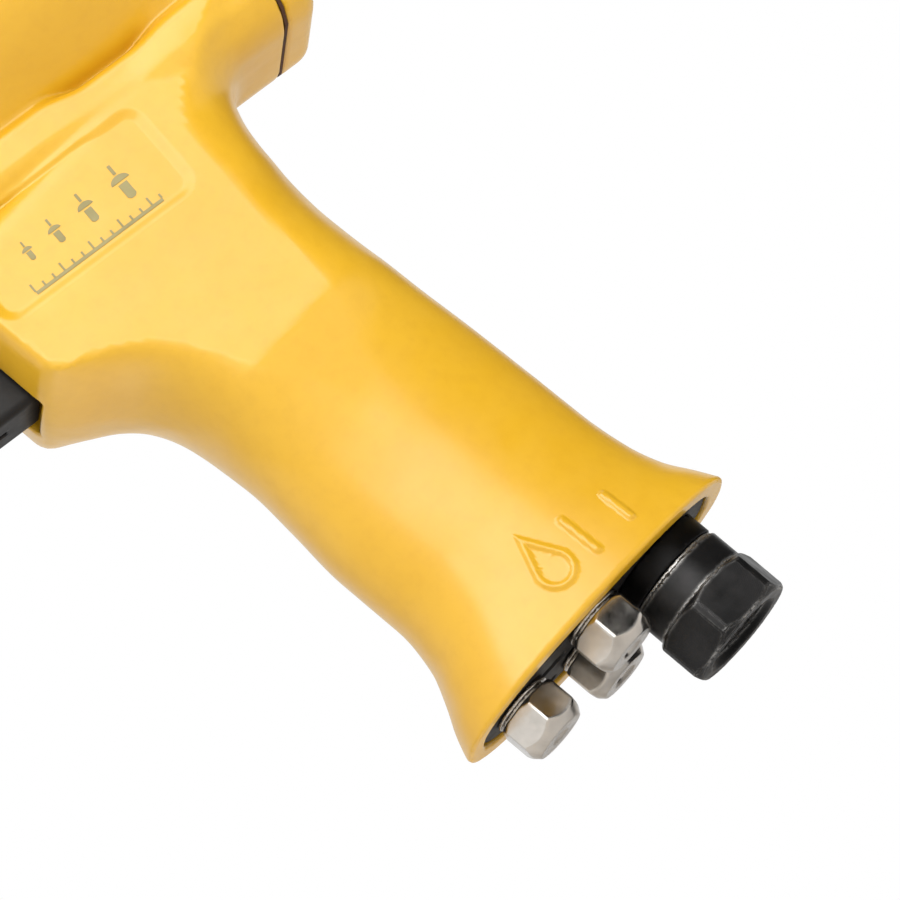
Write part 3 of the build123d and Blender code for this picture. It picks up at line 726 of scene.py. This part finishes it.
def paint():
    n = Nodes("yellow_paint")
    a, b = lin((220, 170, 32)), lin((214, 163, 24))
    big = n.noise(38, 4, 0.55)
    col = n.mix(n.rng(big, 0.35, 0.68), a, b)
    col = n.mix(n.rng(n.noise(420, 3, 0.6), 0.45, 0.75, 0, 0.35), col, lin((207, 155, 22)))
    # specks: tiny chips that show dark primer
    cell = n.vor(300, "F1", "Distance")
    pick = n.rng(n.vor(300, "F1", "Color"), 0.915, 0.925)
    speck = n.math("MULTIPLY", n.rng(cell, 0.085, 0.055), pick)
    edge = n.edge(0.9, 0.03, 0.30)
    worn = n.math("MULTIPLY", edge, n.rng(n.noise(700, 4, 0.65), 0.56, 0.62))
    # painted highlight: edges and corners lightened towards a paler yellow (the same edge mask also drives the real
    # wear)
    col = n.mix(n.math("MULTIPLY", edge, 0.35), col, lin((240, 190, 60)))
    col = n.mix(n.math("MULTIPLY", worn, 0.5), col, lin((150, 112, 60)))
    col = n.mix(speck, col, lin((60, 44, 24)))
    rough = n.rng(n.noise(160, 3), 0.3, 0.7, 0.30, 0.42)
    peel = n.bump(n.noise(520, 2, 0.4), 0.035, 0.55)
    return n.done(col, rough, 0.0, peel, Coat_Weight=0.5, Coat_Roughness=0.2, IOR=1.5)


def metal(name, c1, c2, rough, rings=None, worn=None, edge_r=0.5, grain=900, bump=0.01, met=1.0, pitch=0.16,
          wear=(0.02, 0.22, 0.34, 0.56)):
    """Machined or plated metal; rings is (origin, axis) of the turning marks."""
    n = Nodes(name)
    col = n.mix(n.rng(n.noise(160, 4, 0.6), 0.35, 0.7), lin(c1), lin(c2))
    r = n.rng(n.noise(300, 4, 0.6), 0.3, 0.7, rough - 0.06, rough + 0.10)
    h = n.noise(grain, 3, 0.6)
    if rings:
        t, q = n.axis_angle(*rings)
        w = n.math("SINE", n.math("MULTIPLY", n.math("ADD", q, n.math("MULTIPLY", t, 0.93)), 2 * math.pi / pitch))
        h = n.math("ADD", n.math("MULTIPLY", w, 0.5), n.math("MULTIPLY", h, 0.5))
    if worn:
        e = n.edge(edge_r, wear[0], wear[1])
        e = n.math("MULTIPLY", e, n.rng(n.noise(1100, 4, 0.7), wear[2], wear[3]))
        col = n.mix(e, col, lin(worn))
        r = n.math("ADD", r, n.math("MULTIPLY", e, -0.08))
    return n.done(col, r, met, n.bump(h, bump, 0.6))


def plastic(name, c1, c2, rough, worn=None, grain=1400, bump=0.02, coat=0.0, **kw):
    n = Nodes(name)
    col = n.mix(n.rng(n.noise(120, 4, 0.6), 0.35, 0.7), lin(c1), lin(c2))
    if worn:
        e = n.math("MULTIPLY", n.edge(0.6, 0.02, 0.25), n.rng(n.noise(900, 4, 0.7), 0.40, 0.62))
        col = n.mix(e, col, lin(worn))
    r = n.rng(n.noise(260, 4, 0.6), 0.3, 0.7, rough - 0.05, rough + 0.08)
    return n.done(col, r, 0.0, n.bump(n.noise(grain, 3, 0.6), bump, 0.6), Coat_Weight=coat, **kw)


WAX = (SR, 0.0, -CR)


def spot(u, v, w):
    return tuple(float(q) for q in from_uvw(np.float64(u), np.float64(v), np.float64(w)))


MAT = {
    "paint": paint(),
    "gasket": plastic("gasket_fibre", (74, 44, 22), (52, 32, 18), 0.8, bump=0.06),
    "black": plastic("satin_black_plastic", (15, 12, 10), (10, 8, 7), 0.46, worn=(56, 52, 48), Specular_IOR_Level=0.32),
    "smoke": plastic("smoke_plastic", (46, 48, 50), (34, 36, 38), 0.22, worn=(96, 98, 100), bump=0.01, coat=0.3),
    "oxide": metal("black_oxide", (46, 45, 44), (30, 30, 30), 0.40, ((0, 0, 0), (1, 0, 0)), (165, 163, 158), 0.7, met=0.75),
    "oxide_inlet": metal("black_oxide_inlet", (44, 43, 43), (28, 28, 28), 0.36, (spot(-1.4, 0, 150), WAX),
                         (196, 194, 190), 1.0, met=0.7, bump=0.012, pitch=0.3, wear=(0.01, 0.10, 0.30, 0.46)),
    "bushing": metal("bushing_black", (22, 21, 21), (15, 15, 15), 0.38, (spot(-1.4, 0, 142), WAX), (84, 83, 82), 0.4,
                     met=0.8),
    "steel": metal("bright_steel", (178, 176, 172), (158, 157, 155), 0.26, ((0, 0, 0), (1, 0, 0))),
    "nickel_a": metal("nickel_a", (214, 209, 202), (188, 183, 176), 0.15, (spot(-34.2, 0, 149.4), WAX), None, bump=0.012),
    "nickel_b": metal("nickel_b", (214, 209, 202), (188, 183, 176), 0.15, (spot(-17.5, -6.8, 149.4), WAX), None,
                      bump=0.012),
    "nickel_c": metal("nickel_c", (214, 209, 202), (188, 183, 176), 0.15, (spot(-17.5, 6.8, 149.4), WAX), None,
                      bump=0.012),
    "nickel": metal("nickel", (214, 209, 202), (188, 183, 176), 0.15, ((0, 0, 0), (1, 0, 0)), None, bump=0.012),
    "aluminium": metal("aluminium", (196, 197, 200), (176, 178, 181), 0.32, ((0, 0, 0), (1, 0, 0))),
    "brass": metal("brass", (206, 168, 92), (184, 146, 74), 0.28, ((0, 0, 0), (1, 0, 0))),
    "spring": metal("spring_steel", (150, 152, 156), (120, 122, 126), 0.30),
    "rubber": plastic("rubber", (24, 24, 24), (18, 18, 18), 0.62, bump=0.03),
    "felt": plastic("felt", (120, 116, 106), (98, 94, 86), 0.95, grain=2600, bump=0.25),
    "ink": plastic("olive_ink", (150, 138, 84), (134, 122, 70), 0.5, bump=0.03, coat=0.2),
    "plate": plastic("base_plate_black", (27, 24, 22), (20, 18, 17), 0.52, worn=(80, 74, 68), bump=0.03, Specular_IOR_Level=0.3),
}


# ====================================================================================================================
# Assembly
# ====================================================================================================================
def add(ob, body, material, slot, *nodes):
    ob.data.materials.clear()
    ob.data.materials.append(MAT[material])
    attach(ob, body)
    if nodes:
        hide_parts(*nodes)
    return ob


hs = mesh_piece("housing_cast", f_housing, (54.5, -36.9, -157.2), (214.8, 36.9, 36.9), 1.3, housing_detail, rounds=5)
add(hs, "frame", "paint", "yellow_paint", "main_housing")
cp = mesh_piece("rear_cap_cast", f_cap, (205.2, -36.9, -44.6), (225.0, 36.9, 36.9), 0.75)
add(cp, "frame", "paint", "yellow_paint", "rear_cap")

for i, (su, sv, hole, ang, m) in enumerate(((-34.2, 0.0, 1.2, 40.0, "nickel_a"), (-17.5, -6.8, 1.9, 50.0, "nickel_b"),
                                           (-17.5, 6.8, 1.4, 50.0, "nickel_c"))):
    c0, c1 = from_uvw(np.float64(su), np.float64(sv), np.float64(149.4)), from_uvw(np.float64(su), np.float64(sv),
                                                                                    np.float64(131.9))
    lo, hi = np.minimum(c0, c1) - 7.6, np.maximum(c0, c1) + 7.6

    def f(x, y, z, su=su, sv=sv, hole=hole, ang=ang):
        u, v, w = uvw(x, y, z)
        return f_nosepiece(u - su, v - sv, 149.4 - w, hole, math.radians(ang))

    ob = mesh_piece("spare_nosepiece_turned_%d" % (i + 1), f, lo, hi, 0.22)
    add(ob, "spare_" + "abc"[i], m, "nickel", "spare_nosepiece_%d" % (i + 1))

ob = mesh_piece("fitted_nosepiece_turned", lambda x, y, z: f_nosepiece(z, y, x, 1.6, 0.0), (-0.8, -7.2, -7.2),
                (18.3, 7.2, 7.2), 0.22)
add(ob, "nosepiece", "nickel", "nickel", "fitted_nosepiece")

e0, e1 = from_uvw(np.float64(-1.4), np.float64(0), np.float64(113.0)), from_uvw(np.float64(-1.4), np.float64(0),
                                                                                np.float64(160.0))
ob = mesh_piece("inlet_connector_turned", f_connector, np.minimum(e0, e1) - (12.2, 12.2, 3.2),
                np.maximum(e0, e1) + (12.2, 12.2, 3.2), 0.36)
add(ob, "inlet", "oxide_inlet", "black_oxide", "inlet_connector")
e0, e1 = from_uvw(np.float64(-1.4), np.float64(0), np.float64(115.0)), from_uvw(np.float64(-1.4), np.float64(0),
                                                                                np.float64(145.5))
ob = mesh_piece("inlet_bushing_turned", f_bushing, np.minimum(e0, e1) - (10.4, 10.4, 2.6),
                np.maximum(e0, e1) + (10.4, 10.4, 2.6), 0.5)
add(ob, "frame", "bushing", "black_oxide", "inlet_bushing")
ob = mesh_piece("base_plate_moulded", f_plate, (148.5, -13.0, -155.8), (215.0, 13.0, -134.0), 0.5)
add(ob, "frame", "plate", "black_plastic", "base_plate")
ob = mesh_piece("trigger_moulded", f_trigger, (115.2, -7.4, -67.4), (136.4, 7.4, -44.4), 0.42)
add(ob, "trigger", "black", "black_plastic", "trigger")
ob = mesh_piece("nose_sleeve_turned", f_sleeve, (7.4, -16, -16), (77.2, 16, 16), 0.55)
add(ob, "frame", "oxide", "black_oxide", "nose_sleeve")
ob = mesh_piece("nose_locknut_turned", f_locknut, (47, -22, -22), (57, 22, 22), 0.5)
add(ob, "frame", "oxide", "black_oxide", "nose_locknut")
ob = mesh_piece("collector_bottle", f_bottle, (214.8, -22, -22), (256.4, 22, 22), 0.6)
add(ob, "collector", "smoke", "smoke_plastic", "mandrel_collector")

ob = coil_piece("return_spring_wound", 17.0, 1.6, 165.0, 206.0, 6)
add(ob, "frame", "spring", "spring_steel", "return_spring")
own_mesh(ob)
ob = coil_piece("valve_spring_wound", 3.2, 0.45, 173.5, 184.6, 6, 0, -55.7)
add(ob, "frame", "spring", "spring_steel", "valve_spring")
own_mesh(ob)

def prism(name, loops, y0, y1, body, material):
    """Flat printed marks: closed outlines in (x, z), mm, between y0 and y1."""
    verts, faces = [], []
    for pts in loops:
        k, n = len(verts), len(pts)
        verts += [(p[0] / 1000, y0 / 1000, p[1] / 1000) for p in pts] + [(p[0] / 1000, y1 / 1000, p[1] / 1000) for p in pts]
        faces.append(tuple(k + i for i in range(n)))
        faces.append(tuple(k + n + i for i in reversed(range(n))))
        faces += [(k + (i + 1) % n, k + i, k + n + i, k + n + (i + 1) % n) for i in range(n)]
    me = bpy.data.meshes.new(name)
    me.from_pydata(verts, [], faces)
    ob = bpy.data.objects.new(name, me)
    bpy.context.scene.collection.objects.link(ob)
    import bmesh
    bm = bmesh.new()
    bm.from_mesh(me)
    bmesh.ops.recalc_face_normals(bm, faces=bm.faces)
    bm.to_mesh(me)
    bm.free()
    me.materials.append(MAT[material])
    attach(ob, body)
    return ob


def rivet_mark(x, z, k):
    """Pictogram of a blind rivet, head up: dome, shank and mandrel."""
    dome = [(x + k * 1.75 * math.cos(a), z + k * 1.15 * math.sin(a)) for a in np.linspace(0, math.pi, 13)]
    shank = [(x - k * 0.85, z - k * 0.45), (x + k * 0.85, z - k * 0.45), (x + k * 0.85, z - k * 3.0), (x + k * 0.4, z - k * 3.4),
             (x - k * 0.4, z - k * 3.4), (x - k * 0.85, z - k * 3.0)]
    pin = [(x - k * 0.28, z + k * 1.45), (x + k * 0.28, z + k * 1.45), (x + k * 0.28, z + k * 3.3), (x - k * 0.28, z + k * 3.3)]
    return [dome, shank, pin]


marks = []
for mx, mk in ((146.0, 0.55), (151.6, 0.7), (158.0, 0.85), (165.2, 1.0)):
    marks += rivet_mark(mx, -49.0, mk)
marks.append([(142.6, -55.9), (168.6, -55.9), (168.6, -55.35), (142.6, -55.35)])
for q in range(14):
    tx, th = 142.6 + 2.0 * q, 1.5 if q % 3 == 0 else 0.8
    marks.append([(tx - 0.17, -55.3), (tx + 0.17, -55.3), (tx + 0.17, -55.3 + th), (tx - 0.17, -55.3 + th)])
prism("panel_marks", marks, -18.72, -18.50, "frame", "ink")

REST = {
    "gasket": "gasket", "yellow_paint": "paint", "black_plastic": "black", "smoke_plastic": "smoke", "black_oxide": "oxide",
    "nickel": "nickel", "steel": "steel", "aluminium": "aluminium", "rubber": "rubber", "brass": "brass", "felt": "felt",
    "spring_steel": "spring",
}
slots = {}
for key in ("materials", "material_slots", "slots"):
    for row in (frame["record"].get(key) or []):
        if isinstance(row, dict):
            for nd in row.get("nodes", []):
                slots[nd] = row.get("name") or row.get("slot")
GUESS = [("seal", "rubber"), ("gasket", "gasket"), ("pad", "felt"), ("brass", "brass"), ("bush", "brass"), ("jaw_spring", "spring"),
         ("spring", "spring"), ("liner", "steel"), ("piston_nut", "steel"), ("piston", "aluminium"), ("divider", "aluminium"),
         ("filter", "steel"), ("valve_sleeve", "brass"), ("valve_guide", "brass"), ("spacer", "aluminium"),
         ("screws", "oxide"), ("jaw", "oxide")]
for name, o in frame["nodes"].items():
    if o.hide_render:
        continue
    m = REST.get(slots.get(name, ""))
    if m is None:
        m = next((b for a, b in GUESS if a in name), "steel")
    o.data.materials.clear()
    o.data.materials.append(MAT[m])

# ---- stage, light, camera ------------------------------------------------------------------------------------------
sc = bpy.context.scene
sc.view_settings.view_transform = "Standard"
world = bpy.data.worlds.new("studio")
sc.world = world
world.use_nodes = True
LOOK = Vector((0.1826, 0.0, -0.1128))
CAM_R, CAM_U, CAM_B = Vector((0.7665, -0.0665, -0.6389)), Vector((0.5856, -0.3368, 0.7375)), Vector((-0.2642, -0.9392,
                                                                                                  -0.2192))
DIST = 1.5
cam = bpy.data.objects.new("photo_camera", bpy.data.cameras.new("photo_camera"))
sc.collection.objects.link(cam)
CAM_B.normalize()
CAM_R = (CAM_R - CAM_B * CAM_R.dot(CAM_B)).normalized()
CAM_U = CAM_B.cross(CAM_R)
cam.matrix_world = Matrix((
    (CAM_R.x, CAM_U.x, CAM_B.x, LOOK.x + DIST * CAM_B.x),
    (CAM_R.y, CAM_U.y, CAM_B.y, LOOK.y + DIST * CAM_B.y),
    (CAM_R.z, CAM_U.z, CAM_B.z, LOOK.z + DIST * CAM_B.z),
    (0, 0, 0, 1)))
cam.data.sensor_width = 36.0
cam.data.lens = 36.0 * DIST / 0.1452
cam.data.clip_start = 0.05
cam.data.clip_end = 20.0
sc.camera = cam


wt = world.node_tree
wt.nodes.clear()


def wmath(op, a, b=0.0, c=None):
    n = wt.nodes.new("ShaderNodeMath")
    n.operation = op
    for q, v in zip(n.inputs, (a, b) if c is None else (a, b, c)):
        if hasattr(v, "links"):
            wt.links.new(v, q)
        else:
            q.default_value = v
    return n.outputs[0]


wo = wt.nodes.new("ShaderNodeOutputWorld")
bg = wt.nodes.new("ShaderNodeBackground")
lp = wt.nodes.new("ShaderNodeLightPath")
dirn = wt.nodes.new("ShaderNodeTexCoord").outputs["Generated"]
dot = wt.nodes.new("ShaderNodeVectorMath")
dot.operation = "DOT_PRODUCT"
wt.links.new(dirn, dot.inputs[0])
DARK = (CAM_R * 0.8 + CAM_U * 0.45).normalized()
dot.inputs[1].default_value = DARK
rg = wt.nodes.new("ShaderNodeMapRange")
rg.interpolation_type = "SMOOTHSTEP"
wt.links.new(dot.outputs["Value"], rg.inputs["Value"])
for key, val in (("From Min", 0.36), ("From Max", 0.54), ("To Min", 1.0), ("To Max", 0.03)):
    rg.inputs[key].default_value = val
# white to the camera; to the surfaces a soft grey room, with a darker side in the reflections
AMBIENT, ROOM = 0.47, 0.80
dot2 = wt.nodes.new("ShaderNodeVectorMath")
dot2.operation = "DOT_PRODUCT"
wt.links.new(dirn, dot2.inputs[0])
dot2.inputs[1].default_value = (CAM_R * -0.75 + CAM_U * -0.35 + CAM_B * 0.5).normalized()
rg2 = wt.nodes.new("ShaderNodeMapRange")
rg2.interpolation_type = "SMOOTHSTEP"
wt.links.new(dot2.outputs["Value"], rg2.inputs["Value"])
for key, val in (("From Min", 0.55), ("From Max", 0.85), ("To Min", 0.0), ("To Max", 0.45)):
    rg2.inputs[key].default_value = val
gloss = wmath("ADD", wmath("MULTIPLY", rg.outputs[0], ROOM), rg2.outputs[0])
base = wmath("ADD", AMBIENT, wmath("MULTIPLY", lp.outputs["Is Glossy Ray"], wmath("SUBTRACT", gloss, AMBIENT)))
bg.inputs["Color"].default_value = (1.0, 1.0, 1.0, 1.0)
wt.links.new(base, bg.inputs["Strength"])
paper = wt.nodes.new("ShaderNodeBackground")
paper.inputs["Color"].default_value = (1.0, 1.0, 1.0, 1.0)
paper.inputs["Strength"].default_value = 1.0
wmix = wt.nodes.new("ShaderNodeMixShader")
wt.links.new(lp.outputs["Is Camera Ray"], wmix.inputs[0])
wt.links.new(bg.outputs[0], wmix.inputs[1])
wt.links.new(paper.outputs[0], wmix.inputs[2])
wt.links.new(wmix.outputs[0], wo.inputs[0])


def area(name, where, size, power, target=LOOK):
    """where is (right, up, toward) in metres, in the camera's axes, from the point looked at."""
    L = bpy.data.lights.new(name, "AREA")
    L.shape = "RECTANGLE"
    L.size, L.size_y = size
    L.energy = power
    o = bpy.data.objects.new(name, L)
    sc.collection.objects.link(o)
    p = target + CAM_R * where[0] + CAM_U * where[1] + CAM_B * where[2]
    o.location = p
    d = (target - p).normalized()
    o.rotation_euler = d.to_track_quat("-Z", "Y").to_euler()
    return o


area("key", (-0.45, 0.70, 0.85), (1.2, 1.2), 15.0)
area("fill", (1.0, -0.1, 0.6), (0.9, 0.9), 3.5).visible_glossy = False
area("rim", (0.1, -1.0, -0.2), (0.8, 0.6), 3.0)

fm = Nodes("floor")
fcol = fm.mix(fm.rng(fm.noise(6, 3), 0.3, 0.7), (0.90, 0.90, 0.90, 1), (0.86, 0.86, 0.86, 1))
floor_mat = fm.done(fcol, 0.8, 0.0, fm.bump(fm.noise(60, 3), 0.1, 0.1))
# the floor is seen from above only, because the photograph's camera is lower than it
tr = fm.t.nodes.new("ShaderNodeBsdfTransparent")
gg = fm.t.nodes.new("ShaderNodeNewGeometry")
lr = fm.t.nodes.new("ShaderNodeLightPath")
ms = fm.t.nodes.new("ShaderNodeMixShader")
fm.t.links.new(fm.math("MAXIMUM", gg.outputs["Backfacing"], lr.outputs["Is Shadow Ray"]), ms.inputs[0])
fm.t.links.new(fm.b.outputs[0], ms.inputs[1])
fm.t.links.new(tr.outputs[0], ms.inputs[2])
fm.t.links.new(ms.outputs[0], fm.out.inputs[0])
bpy.ops.mesh.primitive_plane_add(size=6, location=(0.12, 0, -0.1695))
fl = bpy.context.object
fl.name = "floor"
fl.data.materials.append(floor_mat)
